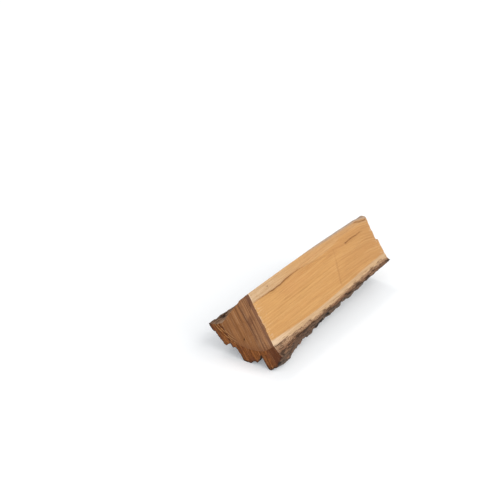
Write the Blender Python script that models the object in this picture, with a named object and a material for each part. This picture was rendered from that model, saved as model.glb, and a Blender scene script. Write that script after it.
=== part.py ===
"""A split log: one wedge of firewood, cleaved from a round and sawn square at both ends.

It lies on its bark, with its length along X and its pith edge on top. The wedge is one piece as
it grew, so it is one closed mesh: rings of the cross-section, bridged from end to end and capped.
A cross-section is drawn in metres as (across, up): across runs to the right as seen from the near
end at -X, which is towards -Y, and up runs from the floor. Angles are about the pith, in degrees,
with -90 pointing straight down.
"""

import math

import bmesh
import bpy
import numpy as np
from mathutils import Matrix, noise

# Driving dimensions, in metres
LENGTH = 0.330
PITH_HEIGHT = 0.106
WOOD_RADIUS = 0.084
CORNER_RADIUS = 0.0795  # the wood is a little slimmer towards its right-hand corner
SLIMMER = (-75.0, -57.0)
PITH_OFF_LEFT_FACE = 0.0048
BEVEL_NEAR = 0.0195  # how far the bevel of the pith edge reaches down the left face, at each end
BEVEL_FAR = 0.0085
CHIP_DEPTH = 0.0054  # the pith edge slopes down at the far end
CHIP_REACH = 0.035
STEP_DEPTH = 0.0045  # the far end's upper cut is this much shorter than its lower one
STEP_HEIGHT = 0.070
STEP_LEAN = 4.5  # degrees by which the upper cut leans outwards as it rises

# The two cleaved faces, as directions from the pith
RIGHT_FACE = -56.8
LEFT_FACE = -125.1

# Where the bark's broken edges stand, past the cleaved faces
BARK_RIGHT = -54.0
BARK_LEFT = -136.0

# How finely the mesh follows the shape
STATIONS = 45
RIGHT_POINTS = 10
BARK_POINTS = 44
LEFT_POINTS = 9

# Bark at the near end: (angle, thickness)
NEAR_BARK = (
    (-136.0, 0.0060),
    (-134.3, 0.0100),
    (-128.3, 0.0110),
    (-121.3, 0.0104),
    (-114.1, 0.0145),
    (-110.0, 0.0040),
    (-101.4, 0.0047),
    (-94.3, 0.0145),
    (-86.8, 0.0225),
    (-80.6, 0.0156),
    (-74.2, 0.0090),
    (-68.5, 0.0303),
    (-65.0, 0.0298),
    (-60.0, 0.0240),
    (-54.0, 0.0165),
)
NEAR_BARK_REACH = 0.045

# How thick the crests of the bark are: along its right side, by distance from the near end, and
# round the rest, by angle
RIGHT_CREST = (
    (0.000, 0.0300),
    (0.061, 0.0215),
    (0.101, 0.0180),
    (0.150, 0.0165),
    (0.192, 0.0105),
    (0.268, 0.0085),
    (0.330, 0.0020),
)
ROUND_CREST = (
    (-136.0, 0.0110),
    (-122.0, 0.0185),
    (-110.0, 0.0275),
    (-88.0, 0.0255),
)
RIGHT_SIDE = (-91.0, -70.0)  # between these angles the right-side crests take over

# Furrows between the bark's ridges
FURROW_SPACING = 0.030
FURROW_RUN = 0.110
FURROW_WIDTH = 0.16
FURROW_DEPTH = 0.36


def smooth_step(value, low, high):
    """0 below low and 1 above high, with an even curve between them."""
    share = min(max((value - low) / (high - low), 0.0), 1.0)
    return share * share * (3 - 2 * share)


def read(table, value):
    """A table of (place, amount) pairs read at one place, with straight runs between them."""
    places, amounts = zip(*table)
    return float(np.interp(value, places, amounts))


def polar(angle, radius):
    """A cross-section point at this angle and distance from the pith."""
    turn = math.radians(angle)
    return np.array((radius * math.cos(turn), PITH_HEIGHT + radius * math.sin(turn)))


def wood_radius(angle):
    """From the pith to the outside of the wood, under the bark."""
    return WOOD_RADIUS - (WOOD_RADIUS - CORNER_RADIUS) * smooth_step(angle, *SLIMMER)


def furrow(angle, along):
    """1 at the bottom of a furrow and 0 on a ridge. The furrows are where a stretched noise crosses
    zero, so that they run with the grain, part and meet again."""
    around = math.radians(angle) * WOOD_RADIUS
    deepest = 0.0
    for layer in (1.7, 9.2):
        at = (around / FURROW_SPACING, along / FURROW_RUN, layer)
        deepest = max(deepest, math.exp(-((noise.noise(at) / FURROW_WIDTH) ** 2)))
    return deepest


def bark_thickness(angle, along):
    """How far the bark stands off the wood."""
    right_side = smooth_step(angle, *RIGHT_SIDE)
    crest = (1 - right_side) * read(ROUND_CREST, angle) + right_side * read(RIGHT_CREST, along)
    edge = smooth_step(angle, BARK_LEFT - 1, BARK_LEFT + 9) * smooth_step(-angle, -BARK_RIGHT - 2, 64.0)
    grown = crest * (0.45 + 0.55 * edge) * (1 - FURROW_DEPTH * furrow(angle, along))
    near_end = 1 - smooth_step(along, 0.25 * NEAR_BARK_REACH, NEAR_BARK_REACH)
    return near_end * read(NEAR_BARK, angle) + (1 - near_end) * grown


def apex(along):
    """The pith edge: it rises a little along the log, and slopes down at the far end."""
    rise = 0.0035 * math.sin(math.pi * min(along / 0.36, 1.0))
    chipped = CHIP_DEPTH * max(0.0, 1 - (LENGTH - along) / CHIP_REACH)
    return np.array((0.0, PITH_HEIGHT + 0.0020 + rise - chipped))


def right_corner(along):
    """Where the right face meets the bark. The edge bows out first and then in."""
    return polar(RIGHT_FACE, CORNER_RADIUS + 0.0040 * math.sin(math.pi * along / 0.21))


def left_line(distance, along):
    """A point on the left face, this far down from the foot of the perpendicular from the pith."""
    turn = math.radians(LEFT_FACE)
    down = np.array((math.cos(turn), math.sin(turn)))
    out = np.array((down[1], -down[0]))
    twist = 0.0030 * (along / LENGTH - 0.5) * (distance / WOOD_RADIUS)
    return np.array((0.0, PITH_HEIGHT)) + distance * down + (PITH_OFF_LEFT_FACE + twist) * out


def cleft(start, end, count, along, layer):
    """Points along a cleaved face from start up to end, leaving out the end: nearly flat, with the
    low waves of torn grain, which die away at both edges."""
    normal = np.array((start[1] - end[1], end[0] - start[0]))
    normal /= np.hypot(*normal)
    points = []
    for i in range(count):
        share = i / count
        wave = noise.noise((3 * share, along / 0.11, layer)) * math.sin(math.pi * share)
        points.append(start + share * (end - start) + 0.0016 * wave * normal)
    return points


def bark_points(along):
    """The outside of the bark, from its right edge to its left one. Where it meets the floor it is
    worn flat."""
    points = []
    for angle in np.linspace(BARK_RIGHT, BARK_LEFT, BARK_POINTS):
        across, up = polar(angle, wood_radius(angle) + bark_thickness(angle, along))
        points.append(np.array((across, max(up, 0.0))))
    return points


def section(along):
    """One ring of the log, clockwise from the pith edge as seen from the near end."""
    top, corner = apex(along), right_corner(along)
    foot = left_line(0.0735, along)
    shoulder = left_line(BEVEL_NEAR + (BEVEL_FAR - BEVEL_NEAR) * smooth_step(along, 0.02, 0.15), along)
    return [
        *cleft(top, corner, RIGHT_POINTS, along, 2.3),
        corner,
        *bark_points(along),
        *cleft(foot, shoulder, LEFT_POINTS, along, 6.1),
        shoulder,
    ]


def make_mesh():
    """Bridges the rings along X and caps both ends, then puts the origin under the middle."""
    mesh = bmesh.new()
    rings = []
    for along in np.linspace(0.0, LENGTH, STATIONS):
        place = along - LENGTH / 2
        rings.append([mesh.verts.new((place, -across, up)) for across, up in section(along)])
    for first, second in zip(rings, rings[1:]):
        count = len(first)
        for i in range(count):
            j = (i + 1) % count
            mesh.faces.new((first[i], first[j], second[j], second[i]))
    mesh.faces.new(rings[0])
    mesh.faces.new(rings[-1])
    bmesh.ops.recalc_face_normals(mesh, faces=mesh.faces)
    sides = [vert.co.y for vert in mesh.verts]
    bmesh.ops.translate(mesh, verts=mesh.verts, vec=(0.0, -(min(sides) + max(sides)) / 2, 0.0))
    data = bpy.data.meshes.new("split_log")
    mesh.to_mesh(data)
    mesh.free()
    return data


def saw_step(log):
    """The far end was sawn from two sides, and the upper cut stopped a little short. The block that
    is cut away has its origin at its lower near edge."""
    reach = 0.2
    bpy.ops.mesh.primitive_cube_add(size=reach)
    cutter = bpy.context.object
    cutter.name = "upper_saw_cut"
    cutter.data.transform(Matrix.Translation((reach / 2, 0.0, reach / 2)))
    cutter.location = (LENGTH / 2 - STEP_DEPTH, 0.0, STEP_HEIGHT)
    cutter.rotation_euler = (0.0, math.radians(STEP_LEAN), 0.0)
    cutter.hide_render = True
    cutter.display_type = "WIRE"
    cut = log.modifiers.new("upper_saw_cut", "BOOLEAN")
    cut.operation = "DIFFERENCE"
    cut.object = cutter


def wood_material():
    material = bpy.data.materials.new("split_wood")
    material.use_nodes = True
    shader = material.node_tree.nodes["Principled BSDF"]
    shader.inputs["Base Color"].default_value = (0.62, 0.36, 0.15, 1.0)
    shader.inputs["Roughness"].default_value = 0.75
    shader.inputs["Metallic"].default_value = 0.0
    return material


def build():
    for item in list(bpy.data.objects):
        bpy.data.objects.remove(item)
    log = bpy.data.objects.new("split_log", make_mesh())
    bpy.context.scene.collection.objects.link(log)
    log.data.materials.append(wood_material())
    log.data.shade_smooth()
    log.data.set_sharp_from_angle(angle=math.radians(35))
    saw_step(log)


build()
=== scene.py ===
"""The looks of the split log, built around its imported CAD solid, which it replaces.

Three pieces stand for the solid: the wood, the bark round its underside, and the splinters along
its sawn edges. They follow its outline, and add torn grain, cracks, saw marks, furrows and ragged
edges. Lengths are in metres. A cross-section is (across, up): across runs towards -Y, and up from
the floor. Angles are in degrees about the pith, with -90 pointing down. Along is the distance from
the near sawn end.
"""

import math

import bmesh
import bpy
import numpy as np
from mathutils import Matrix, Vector, noise


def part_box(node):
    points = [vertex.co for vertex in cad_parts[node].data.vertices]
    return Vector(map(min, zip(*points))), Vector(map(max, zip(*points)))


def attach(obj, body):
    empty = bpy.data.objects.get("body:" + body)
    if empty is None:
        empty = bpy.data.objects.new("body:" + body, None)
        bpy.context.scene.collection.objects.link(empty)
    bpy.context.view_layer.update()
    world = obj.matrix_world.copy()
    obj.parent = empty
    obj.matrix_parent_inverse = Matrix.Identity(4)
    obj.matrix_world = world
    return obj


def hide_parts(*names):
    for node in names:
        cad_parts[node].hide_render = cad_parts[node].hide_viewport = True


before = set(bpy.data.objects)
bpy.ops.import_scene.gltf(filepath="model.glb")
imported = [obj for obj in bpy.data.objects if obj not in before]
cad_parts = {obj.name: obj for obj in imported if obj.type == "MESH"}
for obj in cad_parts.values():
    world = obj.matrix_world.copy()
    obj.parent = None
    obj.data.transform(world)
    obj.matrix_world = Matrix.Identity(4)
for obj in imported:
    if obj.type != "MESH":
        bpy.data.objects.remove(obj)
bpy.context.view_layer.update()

# ---- the log's own measures, in metres

LOW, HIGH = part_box("split_log")
LENGTH = HIGH.x - LOW.x
PITH_HEIGHT = 0.106
TOP_EDGE = 0.002  # the top edge stands this far above the pith
TOP_RISE, TOP_RISE_RUN = 0.0035, 0.36
WOOD_RADIUS = 0.084
CORNER_RADIUS = 0.0795
CORNER_SWELL, CORNER_SWELL_RUN = 0.004, 0.21
CORNER_SHARE = 0.24  # of the arc, what slims down towards the corner
SLIMMER = (-75.0, -57.0)
PITH_OFF_LEFT_FACE = 0.0048
LEFT_TWIST = 0.003
BEVEL_NEAR = 0.0195
BEVEL_FAR = 0.0085
BEVEL_NARROWS = (0.02, 0.15)
CHIP_DEPTH = 0.0054
CHIP_REACH = 0.035
STEP_DEPTH = 0.0045
STEP_HEIGHT = 0.07
STEP_LEAN = 4.5
RIGHT_FACE = -56.8
LEFT_FACE = -125.1
FOOT_DISTANCE = 0.0735
FOOT_SHARE = 0.7  # from here the arc draws in towards the left foot
BARK_RIGHT = -54.0
BARK_LEFT = -136.0
BARK_RIGHT_FULL = -64.0  # from here on the bark has its full thickness
BARK_EDGE = 0.45  # of its full thickness, what is left at its edges

# Bark thickness, as the solid has it
NEAR_BARK = (
    (-136.0, 0.006), (-134.3, 0.01), (-128.3, 0.011), (-121.3, 0.0104), (-114.1, 0.0145),
    (-110.0, 0.004), (-101.4, 0.0047), (-94.3, 0.0145), (-86.8, 0.0225), (-80.6, 0.0156),
    (-74.2, 0.009), (-68.5, 0.0303), (-65.0, 0.0298), (-60.0, 0.024), (-54.0, 0.0165),
)
NEAR_BARK_REACH = 0.045
# Lobes fuller than the solid's, and a deeper gap: bearing, breadth and swell
NEAR_LOBES = (
    (-106.0, 4.5, 0.005), (-98.5, 3.0, 0.003), (-93.0, 3.0, 0.005), (-75.6, 2.0, -0.0025),
)
ROUNDING_TURNS = np.linspace(-2.0, 2.0, 5)
ROUNDING = 0.0004
RIGHT_CREST = (
    (0.0, 0.03), (0.061, 0.0215), (0.101, 0.018), (0.15, 0.0165), (0.192, 0.0105), (0.268, 0.0085),
    (0.33, 0.002),
)
ROUND_CREST = (
    (-136.0, 0.011), (-122.0, 0.0185), (-110.0, 0.0275), (-88.0, 0.0255),
)
RIGHT_SIDE = (-91.0, -70.0)
FURROW_LAYERS = (1.7, 9.2)
FURROW_SPACING = 0.03
FURROW_RUN = 0.11
FURROW_WIDTH = 0.16
FURROW_DEPTH = 0.36


def pith_side():
    """The pith's place along Y, read from the top of the solid's near end."""
    near = [vert.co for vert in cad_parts["split_log"].data.vertices if vert.co.x < LOW.x + 0.001]
    return max(near, key=lambda co: co.z).y


PITH_Y = pith_side()

# ---- small mathematical helpers


def smooth(value, low, high):
    """0 below low and 1 above high, with an even curve between them."""
    share = np.clip((value - low) / (high - low), 0.0, 1.0)
    return share * share * (3 - 2 * share)


def fall(value, low, high):
    """1 below low and 0 above high."""
    return 1 - smooth(value, low, high)


def read(table, value):
    """A table of (place, amount) pairs, with straight runs between them."""
    places, amounts = zip(*table)
    return np.interp(value, places, amounts)


def ripple(along, around, layer, run=1.0, width=1.0):
    """Smooth noise that changes over run along the grain and over width across it."""
    a, b, c = np.broadcast_arrays(along / run, around / width, layer)
    places = np.stack((a.ravel(), b.ravel(), c.ravel()), -1).tolist()
    return np.array([noise.noise(place) for place in places]).reshape(a.shape)


def ripples(table, along, around, layer, step=1.0):
    """The sum of several ripples, each listed as (height, run, width)."""
    layers = [layer + step * count for count in range(len(table))]
    return sum(row[0] * ripple(along, around, at, *row[1:]) for row, at in zip(table, layers))


def line(value, width):
    """1 where value is 0, and 0 a few widths away."""
    return np.exp(-((value / width) ** 2))


def polar(angle, radius):
    """(across, up) of points at these angles and distances from the pith."""
    turn = np.radians(angle)
    return radius * np.cos(turn), PITH_HEIGHT + radius * np.sin(turn)


# ---- the solid's outline


def apex(along):
    """The top edge, chipped at the far end."""
    rise = TOP_RISE * np.sin(np.pi * np.minimum(along / TOP_RISE_RUN, 1.0))
    chipped = CHIP_DEPTH * np.maximum(0.0, 1 - (LENGTH - along) / CHIP_REACH)
    return np.zeros_like(along), PITH_HEIGHT + TOP_EDGE + rise - chipped


def corner_radius(along):
    return CORNER_RADIUS + CORNER_SWELL * np.sin(np.pi * along / CORNER_SWELL_RUN)


def left_line(distance, along):
    """Points on the left face, this far down from its nearest to the pith."""
    turn = math.radians(LEFT_FACE)
    down = (math.cos(turn), math.sin(turn))
    twist = LEFT_TWIST * (along / LENGTH - 0.5) * (distance / WOOD_RADIUS)
    off = PITH_OFF_LEFT_FACE + twist
    return distance * down[0] + off * down[1], PITH_HEIGHT + distance * down[1] - off * down[0]


def furrows(angle, along):
    """Where the solid has its own furrows: long noise crosses zero there."""
    around = np.radians(angle) * WOOD_RADIUS
    layers = [ripple(around, along, layer, FURROW_SPACING, FURROW_RUN) for layer in FURROW_LAYERS]
    return np.max([line(layer, FURROW_WIDTH) for layer in layers], axis=0)


def near_outline(angle):
    """Bark thickness at the near cut: the solid's, with its corners rounded and its lobes fuller."""
    turned = [read(NEAR_BARK, angle + turn) - ROUNDING * turn**2 for turn in ROUNDING_TURNS]
    lobes = sum(swell * line(angle - bearing, breadth) for bearing, breadth, swell in NEAR_LOBES)
    return np.max(turned, axis=0) + lobes


def bark_thickness(angle, along):
    """How far the solid's bark stands off its wood."""
    right_side = smooth(angle, *RIGHT_SIDE)
    crest = (1 - right_side) * read(ROUND_CREST, angle) + right_side * read(RIGHT_CREST, along)
    edge = smooth(angle, BARK_LEFT - 1, BARK_LEFT + 9)
    edge *= smooth(-angle, -BARK_RIGHT - 2, -BARK_RIGHT_FULL)
    grown = crest * (BARK_EDGE + (1 - BARK_EDGE) * edge) * (1 - FURROW_DEPTH * furrows(angle, along))
    near_end = fall(along, 0.25 * NEAR_BARK_REACH, NEAR_BARK_REACH)
    return near_end * near_outline(angle) + (1 - near_end) * grown


def bark_radius(angle, along):
    """From the pith to the outside of the solid's bark."""
    wood_radius = WOOD_RADIUS - (WOOD_RADIUS - CORNER_RADIUS) * smooth(angle, *SLIMMER)
    return wood_radius + bark_thickness(angle, along)


def cambium(share, along):
    """(angle, radius) between wood and bark: share runs from the right corner to the left foot."""
    foot_across, foot_up = left_line(FOOT_DISTANCE, along)
    foot_angle = np.degrees(np.arctan2(foot_up - PITH_HEIGHT, foot_across))
    foot_radius = np.hypot(foot_across, foot_up - PITH_HEIGHT)
    angle = RIGHT_FACE + share * (foot_angle - RIGHT_FACE)
    radius = WOOD_RADIUS - (WOOD_RADIUS - corner_radius(along)) * smooth(-share, -CORNER_SHARE, 0.0)
    return angle, radius - (WOOD_RADIUS - foot_radius) * smooth(share, FOOT_SHARE, 1.0)


# ---- marks on the cleaved faces

# Cracks of the broad face as (along, below the top edge), and how open each is along the log
MAIN_CRACK = (
    (0.004, 0.015), (0.012, 0.0142), (0.033, 0.0157), (0.053, 0.0163), (0.068, 0.0166),
    (0.082, 0.0148), (0.115, 0.014), (0.138, 0.0155), (0.171, 0.0193), (0.2, 0.0235),
)
MAIN_OPENING = (
    (0.0, 0.15), (0.035, 0.4), (0.056, 0.9), (0.088, 0.8), (0.11, 0.4), (0.15, 0.2), (0.2, 0.0),
)
FAR_CRACK = ((0.2465, 0.022), (0.268, 0.0207), (0.299, 0.0203))
FAR_OPENING = ((0.246, 0.6), (0.27, 0.6), (0.292, 0.45), (0.299, 0.2))
EDGE_CRACK = ((0.286, 0.0034), (0.304, 0.0048), (0.325, 0.005))
EDGE_OPENING = ((0.284, 0.0), (0.292, 0.6), (0.325, 0.8))
CRACKS = (
    (MAIN_CRACK, MAIN_OPENING, 0.0007),
    (FAR_CRACK, FAR_OPENING, 0.0006),
    (EDGE_CRACK, EDGE_OPENING, 0.0006),
)
CLOSED = 0.0012  # how far a crack's line is outside it where it is closed
FAR_SPOT = 0.0007  # the far crack starts with a spot of this size
CROSS_MARK = ((0.2115, 0.02), (0.208, 0.033), (0.201, 0.049), (0.1945, 0.069))
KNOT, KNOT_SIZE = (0.042, 0.0072), 0.001
ARCH, ARCH_HEIGHT = (0.196, 0.022), 0.003  # where the grain of the broad face bows
# Under the main crack the face stands back, by distance along the log
LEDGE = ((0.0, 0.3), (0.05, 1.0), (0.09, 1.0), (0.16, 0.3), (0.25, 0.0))
# The left face has one larger knot, and a crack of its own
LEFT_KNOT, LEFT_KNOT_SIZE = (0.232, 0.047), 0.0042
LEFT_CRACK = ((0.018, 0.034), (0.06, 0.032), (0.104, 0.035))
KNOT_STRETCH, LEFT_KNOT_STRETCH = 1.9, 1.5


def off_path(path, along, below):
    """Each point's distance from a path."""
    points = np.stack((along, below), -1)
    nearest = np.full(along.shape, np.inf)
    for start, end in zip(path, path[1:]):
        run = np.subtract(end, start)
        share = np.clip(((points - start) @ run) / (run @ run), 0.0, 1.0)
        away = np.linalg.norm(points - start - share[..., None] * run, axis=-1)
        nearest = np.minimum(nearest, away)
    return nearest


def crack_gap(along, below):
    """How far each point of the broad face is outside the nearest crack, in metres."""
    wander = 0.0008 * ripple(along, below, 3.1, 0.011, 0.5)
    gap = np.hypot((along - FAR_CRACK[0][0]) / 1.4, below - FAR_CRACK[0][1]) - FAR_SPOT
    for path, opening, width in CRACKS:
        open_share = read(opening, along)
        away = off_path(path, along, below + wander)
        gap = np.minimum(gap, away - width * open_share + CLOSED * (1 - open_share) ** 2)
    return gap


def above_crack(along, below):
    """How far each point is above the line of the main crack, carried on to the far end."""
    line_of_crack = read(MAIN_CRACK, along) * (1 - 0.62 * smooth(along, 0.14, 0.26))
    wander = 0.0008 * ripple(along, 0.0, 3.1, 0.011) + 0.001 * ripple(along, below, 4.4, 0.03, 0.004)
    return line_of_crack + wander - below


# How far the grain strays: (distance, run, width)
GRAIN_DRIFT = ((0.0028, 0.3, 0.09), (0.0003, 0.05, 0.02))


def grain_line(along, below, layer, knot, size):
    """Which fibre each point is on, by distance down the face: they drift, and part round a knot."""
    drift = ripples(GRAIN_DRIFT, along, below, layer, 0.5)
    reach = ((along - knot[0]) / KNOT_STRETCH) ** 2 + (below - knot[1]) ** 2
    return below + drift - (below - knot[1]) * size**2 / np.maximum(reach, size**2)


# ---- meshes


def add_object(name, data):
    thing = bpy.data.objects.new(name, data)
    bpy.context.scene.collection.objects.link(thing)
    return thing


def add_mesh(name, points, sides, ends, materials, carried=None):
    """An object with its normals outwards, whose ends wear the second material."""
    data = bpy.data.meshes.new(name)
    data.from_pydata(np.concatenate(points).tolist(), [], sides + ends)
    data.polygons.foreach_set("material_index", [0] * len(sides) + [1] * len(ends))
    for key, blocks in (carried or {}).items():
        stored = data.attributes.new(key, "FLOAT", "POINT")
        values = np.concatenate([block.ravel() for block in blocks])
        stored.data.foreach_set("value", values.astype(np.float32))
    for material in materials:
        data.materials.append(material)
    shaped = bmesh.new()
    shaped.from_mesh(data)
    bmesh.ops.recalc_face_normals(shaped, faces=shaped.faces)
    if shaped.calc_volume(signed=True) < 0:
        bmesh.ops.reverse_faces(shaped, faces=shaped.faces)
    shaped.to_mesh(data)
    shaped.free()
    data.shade_smooth()
    data.set_sharp_from_angle(angle=math.radians(50))
    return add_object(name, data)


def tube_faces(rows, columns):
    """Faces of a closed tube whose rings are rows of points."""
    faces = []
    for i in range(rows - 1):
        for j in range(columns):
            k = (j + 1) % columns
            faces.append((i * columns + j, i * columns + k, (i + 1) * columns + k, (i + 1) * columns + j))
    return faces


END_SPACING, END_REACH = (0.0008, 0.0007), 0.0056
WOOD_SPACING, BARK_SPACING = 0.0015, 0.00093


def stations(spacing, fine):
    """Places along the log, closer together near both ends."""
    near = np.arange(0.0, END_REACH, fine)
    middle = np.linspace(END_REACH, LENGTH - END_REACH, round((LENGTH - 2 * END_REACH) / spacing))
    return np.concatenate((near, middle, LENGTH - near[::-1]))


def place(along, across, up):
    """World points from section ones."""
    points = np.broadcast_arrays(LOW.x + along, PITH_Y - across, up)
    return np.stack(points, -1).reshape(-1, 3)


def far_end_step(up):
    """How far the far sawn end stands back: its upper cut stopped a little short, and leans out."""
    back = STEP_DEPTH - (up - STEP_HEIGHT) * math.tan(math.radians(STEP_LEAN))
    return back * smooth(up, STEP_HEIGHT - 0.0005, STEP_HEIGHT + 0.0005)


# Relief of a sawn end, as (height, run, width): scores, and a slight wave
SAW_RELIEF = ((0.00042, 0.07, 0.004), (0.00028, 0.04, 0.002), (0.0006, 0.05, 0.022))


def saw_marks(across, up, layer):
    turn = math.radians(RIGHT_FACE)
    off_face = across * math.sin(turn) - (up - PITH_HEIGHT) * math.cos(turn)
    down_face = across * math.cos(turn) + (up - PITH_HEIGHT) * math.sin(turn)
    return ripples(SAW_RELIEF, down_face, off_face, layer)


# ---- wood

FACE_POINTS = 116  # down each cleaved face
ARC_POINTS = 70  # round the wood, under the bark
BEVEL_SHARE = 0.135  # of the left face's points, how many lie on its bevel
LEFT_DEPTH = 0.077  # from the top edge to the left foot

# Relief of cleaved wood, as (height, run, width): long fibres, from coarse to fine
TORN_GRAIN = ((0.0005, 0.11, 0.006), (0.00032, 0.045, 0.0024), (0.00018, 0.016, 0.0013))
SLIVERS, SLIVER_HEIGHT = (0.055, 0.0018), 0.00055
TERRACES = (0.16, 0.011)
FACE_WAVE, FACE_WAVE_RUN = 0.0016, 0.11
CRACK_DEPTH, LEFT_CRACK_DEPTH = 0.0016, 0.002
MARK_DEPTH, MARK_WIDTH = 0.00022, 0.003


def face_shares():
    """Places down a cleaved face, closer together round the cracks."""
    steps = np.where(np.abs(np.linspace(0, 1, FACE_POINTS - 1) - 0.26) < 0.2, 0.45, 1.0)
    return np.concatenate(([0.0], np.cumsum(steps) / steps.sum()))


def torn_grain(along, grain, layer):
    """Relief of cleaved wood: long fibres, and slivers that stand up."""
    relief = ripples(TORN_GRAIN, along, grain, layer + 1)
    return relief + SLIVER_HEIGHT * smooth(ripple(along, grain, layer + 4, *SLIVERS), 0.28, 0.42)


def terraces(along, grain, layer):
    """Layers of fibres that tore away: 0 where one is gone and 1 where it stayed."""
    return smooth(ripple(along, grain, layer, *TERRACES), 0.02, 0.1)


def right_face(along, shares):
    """The broad cleaved face: points and the marks they carry."""
    top = np.stack(apex(along), -1)
    slope = np.stack(polar(RIGHT_FACE, corner_radius(along)), -1) - top
    height = np.linalg.norm(slope, axis=-1)
    outward = np.stack((-slope[..., 1], slope[..., 0]), -1) / height[..., None]
    below = shares * height
    grain = grain_line(along, below, 10.0, KNOT, KNOT_SIZE)
    grain += ARCH_HEIGHT * line(along - ARCH[0], 0.04) * line(below - ARCH[1], 0.02)
    marks = {
        "gap": crack_gap(along, below),
        "above": above_crack(along, below),
        "knot": np.hypot((along - KNOT[0]) / KNOT_STRETCH, below - KNOT[1]),
        "mark": off_path(CROSS_MARK, along, below) + 0.0013 * fall(below, 0.025, 0.05),
        "grain": grain,
        "sap": height - below,
        "bevel": line(below, 0.0023 + 0.0016 * ripple(along, 0.0, 17.0, 0.02)) * smooth(along, 0.12, 0.19),
    }
    relief = FACE_WAVE * ripple(3 * shares, along, 2.3, 1.0, FACE_WAVE_RUN) * np.sin(np.pi * shares)
    torn = 0.75 * torn_grain(along, grain, 11.0) + 0.00045 * terraces(along, grain, 16.0)
    relief += torn * smooth(shares, 0.0, 0.04)
    ledge = smooth(marks["above"], -0.0008, 0.001) * read(LEDGE, along)
    relief += 0.001 * ledge * smooth(shares, 0.0, 0.1)
    relief -= CRACK_DEPTH * fall(marks["gap"], -0.0003, 0.0008)
    relief -= 0.0012 * line(marks["knot"], KNOT_SIZE)
    relief -= MARK_DEPTH * line(marks["mark"], MARK_WIDTH)
    return top + shares[..., None] * slope + relief[..., None] * outward, marks


def left_face(along, shares):
    """The bevel along the top edge and the left cleaved face."""
    top = np.stack(apex(along), -1)
    bevel_reach = BEVEL_NEAR + (BEVEL_FAR - BEVEL_NEAR) * smooth(along, *BEVEL_NARROWS)
    shoulder = np.stack(left_line(bevel_reach, along), -1)
    foot = np.stack(left_line(FOOT_DISTANCE, along), -1)
    on_bevel = np.clip(shares / BEVEL_SHARE, 0, 1)
    on_face = np.clip((shares - BEVEL_SHARE) / (1 - BEVEL_SHARE), 0, 1)
    slope = foot - shoulder
    section = top + on_bevel[..., None] * (shoulder - top) + on_face[..., None] * slope
    outward = np.stack((slope[..., 1], -slope[..., 0]), -1)
    outward /= np.linalg.norm(outward, axis=-1, keepdims=True)
    below = shares * LEFT_DEPTH
    grain = grain_line(along, below, 30.0, LEFT_KNOT, LEFT_KNOT_SIZE)
    dying = np.sin(np.pi * on_face)
    relief = -FACE_WAVE * ripple(3 * (1 - on_face), along, 6.1, 1.0, FACE_WAVE_RUN) * dying
    torn = 1.2 * torn_grain(along, grain, 31.0) + 0.0011 * terraces(along, grain, 36.0)
    relief += torn * (0.3 * smooth(shares, 0.0, 0.04) + 0.7 * dying)
    relief += 0.0009 * terraces(along, grain, 38.0) * dying
    relief *= 0.5 + 0.5 * smooth(along, 0.0, 0.025)
    # The top edge is rounded over
    relief += 0.001 * np.sin(np.pi * on_bevel) * smooth(along, 0.08, 0.2)
    knot = np.hypot((along - LEFT_KNOT[0]) / LEFT_KNOT_STRETCH, below - LEFT_KNOT[1])
    rim = knot - LEFT_KNOT_SIZE
    relief += 0.0012 * line(knot, LEFT_KNOT_SIZE) - 0.001 * line(rim, 0.0007)
    crack = np.abs(off_path(LEFT_CRACK, along, below) + 0.0006 * ripple(along, 0.0, 33.0, 0.012))
    relief -= LEFT_CRACK_DEPTH * fall(crack, 0.0001, 0.0008)
    relief -= 0.001 * smooth(on_face, 0.0, 0.05)
    marks = {
        # The rim round the knot and the crack get the painted shade of a crack.
        "gap": np.minimum(0.0004 + 0.5 * np.abs(rim), crack),
        "knot": knot - 0.6 * LEFT_KNOT_SIZE,
        "grain": grain,
        "sap": LEFT_DEPTH * (1 - shares),
        "bevel": line(shares / BEVEL_SHARE - 0.45, 0.5),
    }
    return section + relief[..., None] * outward, marks


def arc(along, shares):
    """The outside of the wood, under the bark."""
    angle, radius = cambium(shares, along)
    around = np.radians(angle) * WOOD_RADIUS
    inner = 0.0004 * ripple(along, around, 51.0, 0.03, 0.002) * np.sin(np.pi * shares)
    return np.stack(polar(angle, radius + inner), -1)


# Drying cracks in the sawn ends: bearing, and where each starts and ends
NEAR_CHECKS = ((-79.0, 0.006, 0.026), (-95.0, 0.06, 0.083))
FAR_CHECKS = (
    (-69.0, 0.006, 0.038), (-88.0, 0.04, 0.083), (-108.0, 0.004, 0.03), (-76.0, 0.062, 0.082),
)
CHECK_DEPTH, CHECK_WIDTH = 0.0022, 0.00045


def end_cracks(across, up, far):
    """Drying cracks in a sawn end, which run out from the pith."""
    radius = np.hypot(across, up - PITH_HEIGHT)
    angle = np.degrees(np.arctan2(up - PITH_HEIGHT, across))
    depth = np.zeros_like(radius)
    for bearing, start, end in FAR_CHECKS if far else NEAR_CHECKS:
        wander = 1.5 * ripple(radius, 0.0, bearing, 0.012)
        off = np.radians(angle - bearing - wander) * radius
        reach = smooth(radius, start, start + 0.01) * fall(radius, end - 0.012, end)
        depth = np.maximum(depth, reach * line(off, CHECK_WIDTH))
    return depth


def sawn(section, far):
    """How far a point of a sawn end lies inside the plane of its cut, and its cracks."""
    across, up = section[..., 0], section[..., 1]
    cracks = end_cracks(across, up, far)
    inset = 0.0005 + saw_marks(across, up, 71.0 if far else 61.0) + CHECK_DEPTH * cracks
    return np.maximum(inset, 0.0) + (far_end_step(up) if far else 0.0), cracks


def cap_grid(right, arc_points, left):
    """Rows of a sawn end, from the apex down: straight across, but curving to meet the arc."""
    down = np.linspace(0, 1, len(right))[:, None, None]
    over = np.linspace(0, 1, len(arc_points))[None, :, None]
    chord = right[-1] + over * (left[-1] - right[-1])
    sag = down**5 * (arc_points[None] - chord)
    return (1 - over) * right[:, None] + over * left[:, None] + sag


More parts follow.
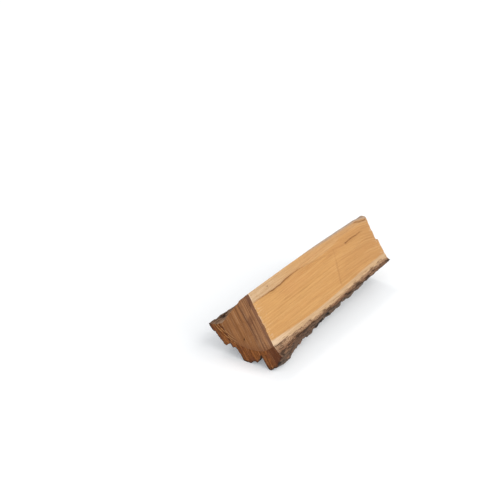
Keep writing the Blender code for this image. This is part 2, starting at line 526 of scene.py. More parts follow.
# What a point carries where no mark reaches it
UNMARKED = dict(gap=0.05, above=-0.05, knot=0.05, mark=0.05, grain=0.0, sap=0.0, bevel=0.0, crack=0.0)


def make_wood(materials):
    """Rings of the two faces and the arc, closed by a grid at each end."""
    along = stations(WOOD_SPACING, END_SPACING[0])[:, None]
    grid = np.broadcast_arrays(along, face_shares()[None, :])
    right, right_marks = right_face(*grid)
    left, left_marks = left_face(*grid)
    under = arc(*np.broadcast_arrays(along, np.linspace(0, 1, ARC_POINTS)[None, :]))
    under[:, 0], under[:, -1] = right[:, -1], left[:, -1]
    section = np.concatenate((right, under[:, 1:-1], left[:, :0:-1]), axis=1)
    rows, columns = section.shape[:2]
    marks = {key: np.full((rows, columns), value) for key, value in UNMARKED.items()}
    for key, values in right_marks.items():
        marks[key][:, :FACE_POINTS] = values
    for key, values in left_marks.items():
        marks[key][:, FACE_POINTS + ARC_POINTS - 2 :] = values[:, :0:-1]
    run = np.repeat(along, columns, axis=1)
    for row, far in ((0, False), (-1, True)):
        inset, marks["crack"][row] = sawn(section[row], far)
        run[row] += -inset if far else inset
    # The upper saw cut stops short, so the last stations close up towards it
    short = far_end_step(section[..., 1])
    run[1:-1] -= short[1:-1] * smooth(run[1:-1], LENGTH - 0.02, LENGTH)
    points = [place(run, section[..., 0], section[..., 1])]
    carried = {key: [values] for key, values in marks.items()}
    ends = []
    for row, far in ((0, False), (rows - 1, True)):
        add_cap(row, far, section[row], points, ends, carried)
    return add_mesh("split_log_wood", points, tube_faces(rows, columns), ends, materials, carried)


def add_cap(row, far, ring, points, faces, carried):
    """Fills one sawn end with a grid whose border is the ring of that row."""
    columns = len(ring)
    bottom_start, bottom_end = FACE_POINTS - 1, FACE_POINTS + ARC_POINTS - 1
    left = np.concatenate((ring[:1], ring[: bottom_end - 2 : -1]))
    inner = cap_grid(ring[:FACE_POINTS], ring[bottom_start:bottom_end], left)[1:-1, 1:-1]
    inset, cracks = sawn(inner, far)
    start = sum(len(block) for block in points)
    points.append(place(LENGTH - inset if far else inset, inner[..., 0], inner[..., 1]))
    for key, value in UNMARKED.items():
        carried[key].append(cracks if key == "crack" else np.full(inset.shape, value))
    tall, wide = inner.shape[:2]
    first = row * columns

    def index(j, i):
        if j == 0:
            return first
        if i == 0:
            return first + j
        if i == wide + 1:
            return first + (columns - j)
        if j == tall + 1:
            return first + bottom_start + i
        return start + (j - 1) * wide + i - 1

    for j in range(tall + 1):
        for i in range(wide + 1):
            corners = (index(j, i), index(j, i + 1), index(j + 1, i + 1), index(j + 1, i))
            faces.append(tuple(dict.fromkeys(corners)))


# ---- bark

ROUND_POINTS = 181  # round the bark
THICK_POINTS = 17  # through it
COARSE = 4  # the hidden inside has one point for this many outside
BARK_ROUND = 0.1  # the radius at which distances round the bark are measured

# Patterns in the bark, as (layer, run, width)
WANDER = (5.3, 0.055, 0.032)
DEEP_FURROWS = (81.0, 0.07, 0.012)
SHALLOW_FURROWS = (82.0, 0.032, 0.0058)
CROSS_CRACKS = (83.0, 0.01, 0.016)
PLATES = (84.0, 0.02, 0.008)
SCALES = (85.0, 0.0075, 0.0027)
FINE_SCALES = (86.0, 0.0026, 0.0014)
# Relief of broken bark, as (height, run, width)
TORN_BARK = ((0.0011, 0.03, 0.0042), (0.0008, 0.011, 0.002), (0.0005, 0.004, 0.0012))


def bark_detail(angle, along):
    """(relief, depth in a furrow) of what the solid leaves out: furrows, plates and scales."""
    around = np.radians(angle) * BARK_ROUND
    bent = around + 0.005 * ripple(along, around, *WANDER)
    deep = line(ripple(along, bent, *DEEP_FURROWS), 0.12)
    shallow = line(ripple(along, bent, *SHALLOW_FURROWS), 0.11)
    cross = line(ripple(along, bent, *CROSS_CRACKS), 0.05) * (1 - deep)
    calm = 0.25 + 0.75 * smooth(along, 0.001, 0.024)
    relief = (-0.0048 * deep - 0.0024 * shallow - 0.0012 * cross) * calm
    scales = 0.0012 * ripple(along, bent, *SCALES) + 0.0007 * ripple(along, bent, *FINE_SCALES)
    relief += 0.0026 * ripple(along, bent, *PLATES) + scales * (0.4 + 0.6 * calm)
    return relief + 0.0014 * calm, np.clip(0.8 * deep + 0.5 * shallow + 0.35 * cross, 0, 1)


def loosened(along, layer, rising, gap_start, gap_end):
    """Where the bark has let go of the wood, as it has over a stretch near the near end."""
    loose = smooth(ripple(along, 0.0, layer, 0.022), *rising)
    return np.clip(loose + smooth(-along, *gap_end) * smooth(along, *gap_start), 0, 1)


def side_lean(through, along, side):
    """How far the bark's broken side leans back, in degrees."""
    torn = 0.9 * ripple(along, 0.0, 95.0 + side, 0.02) * through
    torn += 650 * ripples(TORN_BARK, along, 0.018 * through, 91.0 + side, 0.2)
    loose = loosened(along, 97.0 + side, (0.05, 0.3), (0.003, 0.008), (-0.036, -0.028))
    return torn * smooth(through, 0.0, 0.25) + 2.4 * loose * line(through, 0.1)


def crevice_shade(through, along):
    """Painted shade where the bark has come away from the wood along the broad face."""
    loose = loosened(along, 97.0, (0.0, 0.25), (0.004, 0.009), (-0.042, -0.034))
    return loose * line(through, 0.11)


def bark_points_at(share, through, along):
    """(angle, radius, depth in a furrow, brokenness): share runs from the right side to the left,
    through from the wood to the outside. The depth also carries painted shade along the crevice."""
    inner_angle, inner_radius = cambium(share, along)
    outer_angle = BARK_RIGHT + share * (BARK_LEFT - BARK_RIGHT)
    right = line(share, 0.035) * side_lean(through, along, 0.0)
    left = line(1 - share, 0.035) * side_lean(through, along, 0.3)
    angle = inner_angle + through * (outer_angle - inner_angle) - right + left
    ragged = 1.6 * ripple(along, angle, 99.0, 0.016, 8.0) + 2.2 * ripple(along, 0.0, 99.5, 0.05)
    broken = smooth(angle + 0.6 * ragged, BARK_RIGHT - 6.4, BARK_RIGHT - 5.2)
    broken = np.maximum(broken, smooth(-angle + ragged, -BARK_LEFT - 3.5, -BARK_LEFT - 2.0))
    relief, depth = bark_detail(angle, along)
    torn = ripples(TORN_BARK, along, np.radians(angle) * BARK_ROUND, 93.0, 0.2)
    relief = (1 - broken) * relief + broken * torn
    outer = np.maximum(bark_radius(angle, along) + relief, inner_radius + 0.0012)
    flap = smooth(ripple(along, 0.0, 98.0, 0.019) + 0.5 * ripple(along, 0.0, 98.5, 0.0046), -0.15, 0.75)
    flap *= fall(share, 0.0, 0.02) * fall(through, 0.0, 0.15) * smooth(along, 0.0, 0.006)
    start = inner_radius - 0.0006 - 0.0024 * flap
    # Painted shade along the crevice goes into the depth, which darkens the colour.
    depth = np.maximum(depth * (1 - broken) * through, 0.65 * crevice_shade(through, along) * line(share, 0.05))
    return angle + 0.45 * flap, start + through * (outer - start), depth, broken


def bark_border():
    """The border of a cut through the bark, as steps round it and through it."""
    last, outside = ROUND_POINTS - 1, THICK_POINTS - 1
    border = [(i, outside) for i in range(ROUND_POINTS)]
    border += [(last, j) for j in range(outside - 1, 0, -1)]
    border += [(i, 0) for i in range(last, -1, -COARSE)]
    return border + [(0, j) for j in range(1, outside)]


def make_bark(materials):
    """Rings of its border, closed by a grid at each end."""
    along = stations(BARK_SPACING, END_SPACING[1])
    shares, through = np.linspace(0, 1, ROUND_POINTS), np.linspace(0, 1, THICK_POINTS)
    border = bark_border()
    ring_i, ring_j = np.array(border).T
    rows, columns = len(along), len(border)
    ring = np.broadcast_arrays(shares[ring_i], through[ring_j], along[:, None])
    angle, radius, depth, broken = bark_points_at(*ring)
    broken = np.where(ring_j < THICK_POINTS - 1, 1.0, broken)
    run = ring[2].copy()
    across, up = polar(angle, radius)
    up = settle(across, up, run)
    carried = {"depth": [depth], "broken": [broken], "out": [ring[1]]}
    cuts, inner = [], (slice(1, -1), slice(1, -1))
    grid_shares, grid_outs = np.meshgrid(shares, through, indexing="ij")
    for row, far in ((0, False), (rows - 1, True)):
        cut_along = np.full_like(grid_shares, along[row])
        cut_angle, cut_radius, _, _ = bark_points_at(grid_shares, grid_outs, cut_along)
        cut_across, cut_up = polar(cut_angle, cut_radius)
        cut_up = settle(cut_across, cut_up, cut_along)
        thickness = cut_radius - cambium(grid_shares, cut_along)[1]
        inset = bark_end(cut_angle, thickness, grid_outs, cut_across, cut_up, far)
        run[row] += inset[ring_i, ring_j] * (-1 if far else 1)
        cuts.append(place(LENGTH - inset[inner] if far else inset[inner], cut_across[inner], cut_up[inner]))
        carried["depth"].append(np.zeros(inset[inner].shape))
        carried["broken"].append(np.ones(inset[inner].shape))
        carried["out"].append(grid_outs[inner])
    ends = bark_cap(border, 0, rows * columns)
    ends += bark_cap(border, (rows - 1) * columns, rows * columns + len(cuts[0]))
    points = [place(run, across, up), *cuts]
    return add_mesh("split_log_bark", points, tube_faces(rows, columns), ends, materials, carried)


def bark_cap(border, first, start):
    """Faces of a sawn end: its border counts from first, its inner points from start."""
    order = {spot: first + count for count, spot in enumerate(border)}

    def index(i, j):
        return order.get((i, j), start + (i - 1) * (THICK_POINTS - 2) + j - 1)

    faces = []
    for i in range(ROUND_POINTS - 1):
        for j in range(1, THICK_POINTS - 1):
            faces.append((index(i, j), index(i + 1, j), index(i + 1, j + 1), index(i, j + 1)))
    for i in range(0, ROUND_POINTS - 1, COARSE):
        upper = [index(i + step, 1) for step in range(COARSE, -1, -1)]
        faces.append((index(i, 0), index(i + COARSE, 0), *upper))
    return faces


def settle(across, up, along):
    """Bark that would reach below the floor is crushed flat on it."""
    rough = 0.0003 * (0.5 + ripple(along, across, 77.0, 0.004, 0.003))
    return np.maximum(up, np.maximum(rough, 0.0))


def bark_end(angle, out, through, across, up, far):
    """How far the bark's sawn end lies inside the plane of its cut."""
    inset = 0.0007 + saw_marks(across, up, 66.0) + 0.0005 * ripple(up, across, 67.0, 0.003, 0.003)
    split = 0.7 * line(through - 0.15, 0.09) * smooth(-angle, 104.0, 112.0)
    split = np.maximum(split, 0.7 * line(through - 0.44, 0.06) * smooth(-angle, 110.0, 118.0))
    rough = 0.0012 * smooth(out, 0.012, 0.022) * (0.5 + ripple(up, across, 69.0, 0.006, 0.006))
    inset += 0.0024 * split + rough
    return np.maximum(inset, 0.0) + (far_end_step(up) if far else 0.0)


# ---- splinters

SPLINTER_STEPS = 4
SPLINTER_ROOT = 0.005  # from a sawn end
SPLINTER_LENGTH = (0.003, 0.0052)
SPLINTER_WIDTH = (0.00015, 0.00034)
SPLINTER_LIFT = 0.0005
SPLINTER_SWING = 0.18


def splinter_points(start, heading, lift, side, length, width):
    """Rings of four points along a splinter, which curls up by lift."""
    shares = np.linspace(0, 1, SPLINTER_STEPS + 1)[:, None]
    spine = start + heading * length * shares + lift * shares**2
    half = width * np.sin(np.pi * (0.12 + 0.86 * shares)) ** 0.7
    up = np.cross(heading, side)
    rings = [spine + half * side, spine + 0.5 * half * up, spine - half * side, spine - 0.5 * half * up]
    return np.stack(rings, 1).reshape(-1, 3)


def splinter_faces(first):
    last = first + 4 * SPLINTER_STEPS
    sides = [tuple(first + corner for corner in face) for face in tube_faces(SPLINTER_STEPS + 1, 4)]
    return [*sides, tuple(range(first, first + 4)), tuple(range(last, last + 4))]


def make_splinters(material):
    """Torn fibres along the sawn edges of both cleaved faces."""
    random = np.random.default_rng(7)
    points, faces = [], []
    for far in (False, True):
        for face, count in ((right_face, 44), (left_face, 40)):
            picks = np.sort(random.uniform(0.02, 0.97, count))[None, :]
            along = np.full(picks.shape, LENGTH - SPLINTER_ROOT if far else SPLINTER_ROOT)
            section, _ = face(along, picks)
            if far:
                along = along - far_end_step(section[..., 1])
            roots = place(along, section[..., 0], section[..., 1])
            nudged, _ = face(along, picks + 0.02)
            sides = place(along, nudged[..., 0], nudged[..., 1]) - roots
            for root, side in zip(roots, sides):
                side = side / np.linalg.norm(side)
                outward = np.cross(side, (1.0, 0.0, 0.0))
                outward *= np.sign(outward[2])
                swing = side * random.normal(0, SPLINTER_SWING)
                heading = np.array((1.0 if far else -1.0, 0.0, 0.0)) + swing
                lift = outward * random.uniform(0.0, SPLINTER_LIFT)
                reach, width = random.uniform(*SPLINTER_LENGTH), random.uniform(*SPLINTER_WIDTH)
                faces += splinter_faces(sum(len(block) for block in points))
                points.append(splinter_points(root - 0.0001 * outward, heading, lift, side, reach, width))
    return add_mesh("split_log_splinters", points, faces, [], [material])


# ---- materials


class Shader:
    """A material's node tree, with a short call for each kind of node used here."""

    def __init__(self, name):
        self.material = bpy.data.materials.new(name)
        self.material.use_nodes = True
        self.tree = self.material.node_tree
        self.surface = self.tree.nodes["Principled BSDF"]
        self.set(Specular_IOR_Level=0.2)

    def set(self, **values):
        for name, value in values.items():
            self.link(value, self.surface.inputs[name.replace("_", " ")])

    def node(self, kind, **settings):
        made = self.tree.nodes.new("ShaderNode" + kind)
        for key, value in settings.items():
            setattr(made, key, value)
        return made

    def link(self, value, socket):
        """Sets a socket to a number, a colour or another node's output."""
        if isinstance(value, bpy.types.NodeSocket):
            self.tree.links.new(value, socket)
        elif isinstance(value, tuple) and len(value) == 3 and socket.type == "RGBA":
            socket.default_value = (*value, 1.0)
        else:
            socket.default_value = value

    def joined(self, made, values):
        """A node's first output, with its first sockets set."""
        for value, socket in zip(values, made.inputs):
            self.link(value, socket)
        return made.outputs[0]

    def read(self, name):
        return self.node("Attribute", attribute_name=name).outputs["Fac"]

    def spot(self):
        return self.node("TexCoord").outputs["Object"]

    def part(self, axis):
        split = self.node("SeparateXYZ")
        self.link(self.spot(), split.inputs[0])
        return split.outputs[axis]

    def toward(self, direction):
        """How far each point lies from the pith, in this direction."""
        shift = self.node("VectorMath", operation="SUBTRACT")
        dot = self.node("VectorMath", operation="DOT_PRODUCT")
        from_pith = self.joined(shift, (self.spot(), (0.0, PITH_Y, PITH_HEIGHT)))
        self.joined(dot, (from_pith, direction))
        return dot.outputs["Value"]

    def down_face(self):
        turn = math.radians(RIGHT_FACE)
        return self.toward((0.0, -math.cos(turn), math.sin(turn)))

    def inward(self):
        """How far each point lies behind the broad face."""
        turn = math.radians(RIGHT_FACE)
        return self.toward((0.0, -math.sin(turn), -math.cos(turn)))

    def math(self, operation, *values):
        return self.joined(self.node("Math", operation=operation), values)

    def times(self, first, second):
        return self.math("MULTIPLY", first, second)

    def nudge(self, value, pattern, amount):
        """value with this much of a pattern added."""
        return self.math("MULTIPLY_ADD", pattern, amount, value)

    def ragged(self, value, pattern, amount):
        """value moved up and down by a pattern."""
        return self.nudge(value, self.math("SUBTRACT", pattern, 0.5), amount)

    def blend(self, first, second, share):
        """This share of the first pattern, and the rest of the second."""
        return self.nudge(self.times(second, 1 - share), first, share)

    def rise(self, value, low, high, most=1.0, least=0.0):
        """least where value is low, most where it is high."""
        made = self.node("MapRange", interpolation_type="SMOOTHSTEP")
        return self.joined(made, (value, low, high, least, most))

    def fall(self, value, low, high, most=1.0, least=0.0):
        return self.rise(value, low, high, least, most)

    def noise_at(self, vector, detail, roughness):
        made = self.node("TexNoise")
        values = {"Vector": vector, "Scale": 1.0, "Detail": detail, "Roughness": roughness}
        for key, value in values.items():
            self.link(value, made.inputs[key])
        return made.outputs["Fac"]

    def noise(self, per_run, per_width, detail=3.0, roughness=0.55):
        """Noise over the log's own axes, by changes to the metre."""
        mapping = self.node("Mapping")
        self.link(self.spot(), mapping.inputs["Vector"])
        mapping.inputs["Scale"].default_value = (per_run, per_width, per_width)
        return self.noise_at(mapping.outputs[0], detail, roughness)

    def noise_over(self, first, second, per_first, per_second, layer, detail=3.0, roughness=0.55):
        """Noise over any two measures."""
        measures = (self.times(first, per_first), self.times(second, per_second), layer)
        return self.noise_at(self.joined(self.node("CombineXYZ"), measures), detail, roughness)

    def mix(self, share, first, second):
        made = self.node("Mix", data_type="RGBA")
        for value, socket in zip((share, first, second), (0, 6, 7)):
            self.link(value, made.inputs[socket])
        return made.outputs[2]

    def tones(self, pattern, low, high, dark, light):
        """A dark and a light colour, by a pattern."""
        return self.mix(self.rise(pattern, low, high), dark, light)

    def coats(self, colour, *coats):
        """colour under coats of others, each with how much of it there is."""
        for coat, share in coats:
            colour = self.mix(share, colour, coat)
        return colour

    def pith_distance(self):
        """Distance from the pith, a little uneven."""
        squares = [self.times(side, side) for side in (self.toward((0, 1, 0)), self.toward((0, 0, 1)))]
        radius = self.math("SQRT", self.math("ADD", *squares))
        return self.ragged(radius, self.noise(7, 30, 2.0), 0.002)

    def scores(self, per_run, per_width, layer, detail):
        """Lines left by the saw, parallel to the broad face."""
        return self.noise_over(self.down_face(), self.inward(), per_run, per_width, layer, detail)

    def arc_coats(self, radius):
        """Loose layers along the line between wood and bark."""
        left = self.rise(self.toward((0, 1, 0)), 0.012, 0.03)
        off_line = self.math("ABSOLUTE", self.math("SUBTRACT", radius, ARC_RADIUS))
        share = self.times(left, self.fall(off_line, 0.003, 0.008))
        phase = self.math("FRACT", self.math("DIVIDE", radius, ARC_SPACING))
        dark = self.rise(phase, 0.55, 0.8, 0.45)
        pale = self.math("SUBTRACT", self.rise(phase, 0.1, 0.25), self.rise(phase, 0.3, 0.45))
        return (
            (ARC_SHADE, self.times(share, dark)),
            (ARC_LIGHT, self.times(share, self.times(pale, 0.85))),
        )

    def bump(self, height, distance, strength):
        made = self.node("Bump")
        self.joined(made, (strength, distance))
        self.link(height, made.inputs["Height"])
        return made.outputs[0]

    def finish(self, colour, roughness, normal):
        self.set(Base_Color=colour, Roughness=roughness, Normal=normal)
        return self.material


ARC_RADIUS, ARC_SPACING = 0.0815, 0.0038
RING_SPACING = 0.0027
ARC_SHADE, ARC_LIGHT = (0.09, 0.036, 0.016), (0.6, 0.3, 0.11)

# Colours of the cleaved faces, the first few as dark and light pairs
TAN = (0.452, 0.227, 0.075), (0.612, 0.338, 0.124)
PALE = (0.44, 0.276, 0.141), (0.585, 0.405, 0.245)
SAPWOOD = (0.425, 0.266, 0.14), (0.63, 0.436, 0.262)
GREY = (0.2, 0.155, 0.13), (0.5, 0.42, 0.36)
BAND_TAN, ROSY_TAN, FAR_TAN = (0.53, 0.262, 0.086), (0.51, 0.245, 0.092), (0.405, 0.2, 0.078)
DARK_STREAK, LIGHT_STREAK = (0.395, 0.186, 0.066), (0.64, 0.372, 0.155)
HAIRLINE, PORE, SPECK = (0.26, 0.12, 0.045), (0.3, 0.14, 0.052), (0.4, 0.18, 0.062)
WHITE_SAPWOOD, FRAYED = (0.7, 0.52, 0.36), (0.7, 0.51, 0.345)
BARK_STAIN, BARK_SCRAP = (0.18, 0.095, 0.05), (0.17, 0.085, 0.042)
# The crack colours here are painted shade inside and beside the cracks.
CRACK_SHADE, CRACK_SIDE_SHADE = (0.185, 0.084, 0.032), (0.33, 0.16, 0.058)
# The mark colour here is painted shadow along the shallow groove of the mark across the grain.
KNOT_BROWN, MARK_SHADE = (0.15, 0.066, 0.027), (0.33, 0.15, 0.052)


def cleaved_wood():
    s = Shader("cleaved_wood")
    x, grain, sap = s.part(0), s.read("grain"), s.read("sap")
    side = s.math("GREATER_THAN", s.part(1), PITH_Y)

    def fibrous(per_run, per_width, detail=3.0, roughness=0.55):
        return s.noise_over(x, grain, per_run, per_width, side, detail, roughness)

    streaks, fibres = fibrous(9, 480, 5.0, 0.62), fibrous(38, 1700, 3.0, 0.6)
    tone = s.blend(streaks, fibres, 0.55)
    figure = fibrous(6, 340, 4.0, 0.62)
    drawn = s.rise(x, LOW.x + 0.02, HIGH.x - 0.05, 1.0, 0.35)
    # The paler band above the main crack, and the sapwood beside the bark
    pale = s.tones(tone, 0.36, 0.62, *PALE)
    pale = s.coats(pale, (SPECK, s.rise(s.noise(420, 700, 1.0), 0.6, 0.68, 0.5)))
    band = s.rise(s.read("above"), -0.0003, 0.0005)
    fade = s.fall(x, LOW.x + 0.01, LOW.x + 0.14, 0.92, 0.22)
    sap_edge = s.nudge(sap, fibrous(14, 260), -0.005)
    sapwood = s.tones(tone, 0.36, 0.62, *SAPWOOD)
    stain = s.nudge(sap, fibrous(90, 700), -0.005)
    near_sapwood = s.fall(sap_edge, 0.005, 0.0078)
    scraps = s.rise(fibrous(75, 420), 0.52, 0.58, 0.85)
    # Torn ends of the fibres at both cuts
    end = s.math("SUBTRACT", LENGTH / 2, s.math("ABSOLUTE", x))
    frayed = s.nudge(end, fibrous(50, 520), -0.01)
    patchy = s.rise(s.noise_over(0.0, grain, 0.0, 95, s.math("SIGN", x)), 0.46, 0.62, 0.85)
    frayed = s.times(s.fall(frayed, -0.0046, -0.002), patchy)
    flecks = s.rise(fibrous(130, 620, 2.0), 0.56, 0.66, 0.45)
    flecks = s.times(flecks, s.fall(end, 0.003, 0.022))
    # Cracks, the knots and the mark across the grain, with painted shade in and beside the cracks and painted
    # shadow along the mark
    gap = s.nudge(s.read("gap"), s.noise(160, 900, 2.0), 0.0006)
    mark = s.nudge(s.read("mark"), s.noise(300, 300, 2.0), 0.0012)
    # The top edge and the bevel are painted grey, more so towards the far end.
    grey_towards_far = s.rise(x, LOW.x + 0.1, LOW.x + 0.2, 0.75, 0.25)
    colour = s.coats(
        s.tones(tone, 0.3, 0.7, *TAN),
        (BAND_TAN, s.rise(fibrous(2.6, 62, 2.0), 0.36, 0.64, 0.38)),
        (ROSY_TAN, s.rise(s.noise(9, 22, 2.0), 0.46, 0.66, 0.3)),
        (FAR_TAN, s.rise(x, 0.0, HIGH.x, 0.38)),
        (DARK_STREAK, s.times(s.rise(figure, 0.51, 0.61, 0.4), drawn)),
        (LIGHT_STREAK, s.times(s.fall(figure, 0.39, 0.48, 0.32), drawn)),
        (HAIRLINE, s.rise(fibrous(13, 760, 2.0), 0.66, 0.72, 0.45)),
        (PORE, s.rise(fibrous(120, 3000, 1.0), 0.6, 0.7, 0.2)),
        (pale, s.times(band, fade)),
        (sapwood, s.fall(sap_edge, 0.005, 0.0078, 0.88)),
        (BARK_STAIN, s.fall(stain, -0.0022, -0.0009, 0.75)),
        (WHITE_SAPWOOD, s.times(near_sapwood, s.fall(x, LOW.x, LOW.x + 0.06, 0.55))),
        (BARK_SCRAP, s.times(scraps, s.fall(sap, 0.0022, 0.0056))),
        (FRAYED, s.math("MAXIMUM", frayed, flecks)),
        (s.mix(fibres, *GREY), s.times(s.read("bevel"), grey_towards_far)),
        # Painted shade inside the cracks, and a softer painted shadow beside them.
        (CRACK_SHADE, s.fall(gap, 0.0, 0.0009, 0.78)),
        (CRACK_SIDE_SHADE, s.fall(gap, 0.0003, 0.0036, 0.38)),
        (KNOT_BROWN, s.fall(s.read("knot"), 0.0002, 0.0014, 0.85)),
        # Painted shadow along the shallow groove across the grain.
        (MARK_SHADE, s.fall(mark, 0.0, 0.0046, 0.42)),
    )
    normal = s.bump(s.nudge(streaks, fibres, 0.8), 0.0007, 0.6)
    return s.finish(colour, s.rise(fibres, 0.3, 0.7, 0.82, 0.62), normal)


CUT, CUT_BLOTCH = ((0.15, 0.06, 0.026), (0.43, 0.202, 0.086)), (0.165, 0.062, 0.027)
CUT_ORANGE, CUT_PURPLE = (0.35, 0.137, 0.036), (0.18, 0.082, 0.055)
PALE_SCORE, DARK_SCORE, RING = (0.56, 0.345, 0.2), (0.08, 0.034, 0.017), (0.13, 0.058, 0.027)
# The check colour here is painted shade in the drying cracks.
CUT_RIM, CHECK_SHADE = ((0.12, 0.042, 0.016), (0.33, 0.13, 0.048)), (0.05, 0.022, 0.011)


def sawn_wood():
    """More orange away from the broad face, more purple along it, darker next to the bark, and with painted
    shade in the drying cracks.
    """
    s = Shader("sawn_wood")
    radius = s.pith_distance()
    broad, narrow = s.scores(9, 170, 1.0, 2.0), s.scores(17, 760, 2.0, 3.0)
    hair = s.scores(20, 1350, 3.0, 2.0)
    speckle = s.noise(300, 1300)
    tone = s.ragged(s.blend(broad, narrow, 0.5), speckle, 0.22)
    inward = s.ragged(s.inward(), broad, 0.04)
    ring = s.rise(s.math("FRACT", s.math("DIVIDE", radius, RING_SPACING)), 0.45, 0.95, 0.14)
    colour = s.coats(
        s.tones(tone, 0.38, 0.61, *CUT),
        (CUT_BLOTCH, s.rise(s.noise(40, 75), 0.5, 0.66, 0.5)),
        (CUT_ORANGE, s.rise(inward, 0.018, 0.034, 0.5)),
        (CUT_PURPLE, s.fall(inward, 0.003, 0.012, 0.4)),
        (PALE_SCORE, s.rise(hair, 0.6, 0.68, 0.62)),
        (DARK_SCORE, s.fall(hair, 0.3, 0.37, 0.6)),
        (RING, ring),
        (s.mix(narrow, *CUT_RIM), s.rise(radius, 0.072, 0.084, 0.6)),
        *s.arc_coats(radius),
        # Painted shade in the drying cracks, by their depth.
        (CHECK_SHADE, s.rise(s.read("crack"), 0.15, 0.6, 0.9)),
    )
    height = s.nudge(s.times(speckle, 0.5), narrow, 0.9)
    normal = s.bump(s.nudge(height, hair, 0.6), 0.0008, 0.65)
    return s.finish(colour, s.rise(speckle, 0.3, 0.7, 0.9, 0.7), normal)


FIBRE = (0.47, 0.265, 0.115), (0.64, 0.42, 0.235)


def torn_fibre():
    s = Shader("torn_fibre")
    fibres = s.noise(60, 1500)
    colour = s.tones(fibres, 0.35, 0.65, *FIBRE)
    return s.finish(colour, s.rise(fibres, 0.3, 0.7, 0.85, 0.65), s.bump(fibres, 0.0003, 0.5))


OUTER, OUTER_PATCH = ((0.04, 0.026, 0.018), (0.2, 0.14, 0.101)), (0.095, 0.06, 0.04)
# The furrow colour here is painted shade in the furrows.
SCAR, FURROW_SHADE = ((0.18, 0.07, 0.036), (0.4, 0.185, 0.095)), (0.012, 0.008, 0.007)
TORN, TORN_PATCH = ((0.042, 0.021, 0.012), (0.385, 0.22, 0.128)), (0.17, 0.076, 0.038)
INNER, OUTER_RIM = ((0.24, 0.125, 0.062), (0.58, 0.375, 0.23)), (0.04, 0.023, 0.015)
# The crevice colour here is painted shade in the furrows and along the crevice.
LAYER_EDGE, DARK_PATCH, FURROW_AND_CREVICE_SHADE = (0.36, 0.22, 0.13), (0.035, 0.019, 0.012), (0.014, 0.009, 0.007)


def bark_surface():
    """Grey-brown and scarred outside, and red-brown fibre where it is broken, with painted shade in the
    furrows and along the crevice.
    """
    s = Shader("bark_surface")
    depth, out = s.read("depth"), s.read("out")
    scale = s.noise(150, 420, 5.0, 0.65)
    fine = s.noise(600, 1400, 4.0, 0.6)
    broad = s.noise(14, 40)
    fibres = s.noise(48, 520, 5.0, 0.65)
    scars = s.rise(s.noise(36, 170, 4.0, 0.6), 0.575, 0.625)
    outer = s.coats(
        s.tones(s.blend(scale, fine, 0.55), 0.38, 0.63, *OUTER),
        (OUTER_PATCH, s.rise(broad, 0.5, 0.66, 0.5)),
        (s.mix(fine, *SCAR), s.times(scars, s.fall(depth, 0.0, 0.5, 0.75, 0.2))),
        # Painted shade in the furrows, by their depth.
        (FURROW_SHADE, s.rise(depth, 0.2, 0.85, 0.88)),
    )
    inner_bark = s.tones(fine, 0.4, 0.6, *INNER)
    layers = s.rise(s.math("FRACT", s.times(out, 4.3)), 0.72, 0.95, 0.25)
    dark = s.rise(s.noise(55, 240, 4.0, 0.62), 0.515, 0.585, 0.82)
    torn = s.coats(
        s.tones(s.blend(fibres, fine, 0.6), 0.39, 0.6, *TORN),
        (TORN_PATCH, s.rise(broad, 0.46, 0.62, 0.5)),
        (inner_bark, s.fall(s.ragged(out, fibres, 0.9), 0.16, 0.54, 0.86)),
        (OUTER_RIM, s.rise(s.ragged(out, fibres, 0.8), 0.78, 1.02, 0.55)),
        (LAYER_EDGE, layers),
        (DARK_PATCH, s.times(dark, s.rise(out, 0.05, 0.5, 1.0, 0.45))),
    )
    broken = s.ragged(s.read("broken"), fibres, 1.6)
    colour = s.coats(
        s.tones(broken, 0.35, 0.65, outer, torn),
        # Painted shade in the furrows and along the crevice, by depth.
        (FURROW_AND_CREVICE_SHADE, s.rise(depth, 0.3, 0.85, 0.9)),
    )
    normal = s.bump(s.nudge(scale, fine, 0.6), 0.0014, 0.85)
    return s.finish(colour, s.rise(fine, 0.3, 0.7, 0.95, 0.75), normal)


BARK_CUT, BARK_CUT_PATCH = ((0.09, 0.025, 0.005), (0.385, 0.136, 0.035)), (0.15, 0.046, 0.018)
LUMP, LUMP_RIM = ((0.045, 0.011, 0.004), (0.155, 0.046, 0.017)), (0.055, 0.032, 0.022)
BARK_CUT_SCORE = (0.46, 0.255, 0.13)


def sawn_bark():
    """Red-brown, with its right-hand lump darker."""
    s = Shader("sawn_bark")
    broad, narrow = s.scores(14, 210, 4.0, 2.0), s.scores(26, 640, 5.0, 3.0)
    speckle = s.noise(300, 700, 4.0, 0.6)
    tone = s.nudge(s.nudge(s.times(narrow, 0.35), broad, 0.35), speckle, 0.3)
    patches = s.noise(30, 75)
    inward = s.ragged(s.inward(), patches, 0.03)
    colour = s.coats(
        s.tones(tone, 0.39, 0.61, *BARK_CUT),
        (BARK_CUT_PATCH, s.rise(patches, 0.5, 0.62, 0.6)),
        (s.mix(narrow, *LUMP), s.fall(inward, 0.01, 0.022, 0.8)),
        *s.arc_coats(s.pith_distance()),
        (LUMP_RIM, s.rise(s.read("out"), 0.84, 1.0, 0.65)),
        (BARK_CUT_SCORE, s.rise(s.scores(24, 900, 6.0, 2.0), 0.61, 0.69, 0.45)),
    )
    height = s.nudge(s.times(speckle, 0.9), narrow, 0.9)
    return s.finish(colour, s.rise(speckle, 0.3, 0.7, 0.95, 0.75), s.bump(height, 0.0011, 0.75))


# ---- camera, floor and light

CAMERA_AZIMUTH, CAMERA_ELEVATION = -55.36, 25.5
CAMERA_AWAY, CAMERA_ASIDE, CAMERA_UP = 1.61, -0.0082, 0.1615
LENS = 83.8
FLOOR_SIZE, FLOOR_DROP = 40.0, 0.0002
FLOOR_GREY, FLOOR_GLOW = (0.765, 0.765, 0.765), (0.9, 0.95, 1.0)
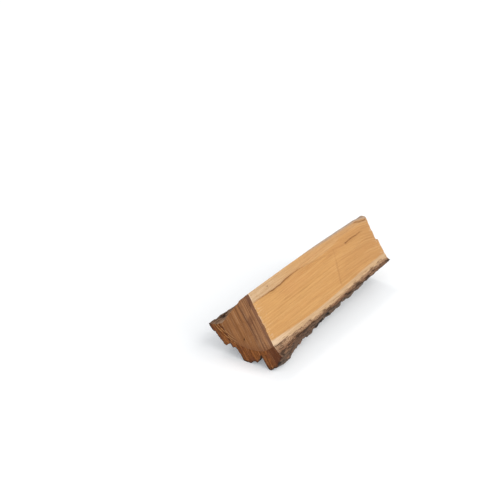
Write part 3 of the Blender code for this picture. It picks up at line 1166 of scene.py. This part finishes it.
# Each light's name, side of the sky, power, breadth in degrees and colour
SUNS = (
    ("key", (0.1, -0.85, 0.75), 2.05, 60.0, (1.0, 0.99, 0.97)),
    ("fill", (-0.8, -0.35, 0.85), 0.85, 60.0, (0.99, 0.99, 1.0)),
    ("rear", (0.25, 0.667, 1.0), 0.45, 16.0, (1.0, 0.98, 0.95)),
)
STUDIO_COLOUR = (0.96, 0.98, 1.0, 1.0)
STUDIO_LIGHT, STUDIO_SEEN = 0.42, 1.05


def turn_to(thing, direction):
    """Turns the back of a camera or light this way."""
    thing.rotation_mode = "QUATERNION"
    thing.rotation_quaternion = Vector(direction).to_track_quat("Z", "Y")


def make_camera():
    """It shows the near end and the broad face."""
    azimuth, elevation = math.radians(CAMERA_AZIMUTH), math.radians(CAMERA_ELEVATION)
    right = Vector((math.cos(azimuth), math.sin(azimuth), 0.0))
    level = Vector((math.sin(azimuth), -math.cos(azimuth), 0.0))
    back = math.cos(elevation) * level + Vector((0.0, 0.0, math.sin(elevation)))
    camera = add_object("camera", bpy.data.cameras.new("camera"))
    camera.data.lens = LENS
    aim = CAMERA_ASIDE * right + CAMERA_UP * back.cross(right)
    camera.location = Vector((LOW.x, PITH_Y, 0.0)) + CAMERA_AWAY * back + aim
    turn_to(camera, back)
    bpy.context.scene.camera = camera


def make_floor():
    data = bpy.data.meshes.new("floor")
    corners = [(x * FLOOR_SIZE, y * FLOOR_SIZE, -FLOOR_DROP) for x, y in ((-1, -1), (1, -1), (1, 1), (-1, 1))]
    data.from_pydata(corners, [], [(0, 1, 2, 3)])
    s = Shader("floor")
    s.set(Base_Color=FLOOR_GREY, Roughness=0.3, Emission_Color=FLOOR_GLOW, Emission_Strength=0.265)
    data.materials.append(s.material)
    add_object("floor", data)


def make_world():
    """A white studio all round. It lights the log less than it shows."""
    world = bpy.data.worlds.new("studio")
    bpy.context.scene.world = world
    world.use_nodes = True
    nodes, links = world.node_tree.nodes, world.node_tree.links
    strength = nodes.new("ShaderNodeMapRange")
    strength.inputs["To Min"].default_value = STUDIO_LIGHT
    strength.inputs["To Max"].default_value = STUDIO_SEEN
    links.new(nodes.new("ShaderNodeLightPath").outputs["Is Camera Ray"], strength.inputs["Value"])
    links.new(strength.outputs[0], nodes["Background"].inputs["Strength"])
    nodes["Background"].inputs["Color"].default_value = STUDIO_COLOUR
    bpy.context.scene.view_settings.view_transform = "Standard"


def make_lights():
    for name, toward, power, breadth, colour in SUNS:
        sun = add_object(name, bpy.data.lights.new(name, "SUN"))
        sun.data.energy = power
        sun.data.angle = math.radians(breadth)
        sun.data.color = colour
        sun.location = toward
        turn_to(sun, toward)


# ---- build

make_camera()
make_floor()
make_lights()
make_world()

wood = make_wood([cleaved_wood(), sawn_wood()])
bark = make_bark([bark_surface(), sawn_bark()])
splinters = make_splinters(torn_fibre())
for piece, finish_slot in ((wood, "split_wood"), (bark, "bark"), (splinters, "split_wood")):
    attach(piece, "root")
    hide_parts("split_log")
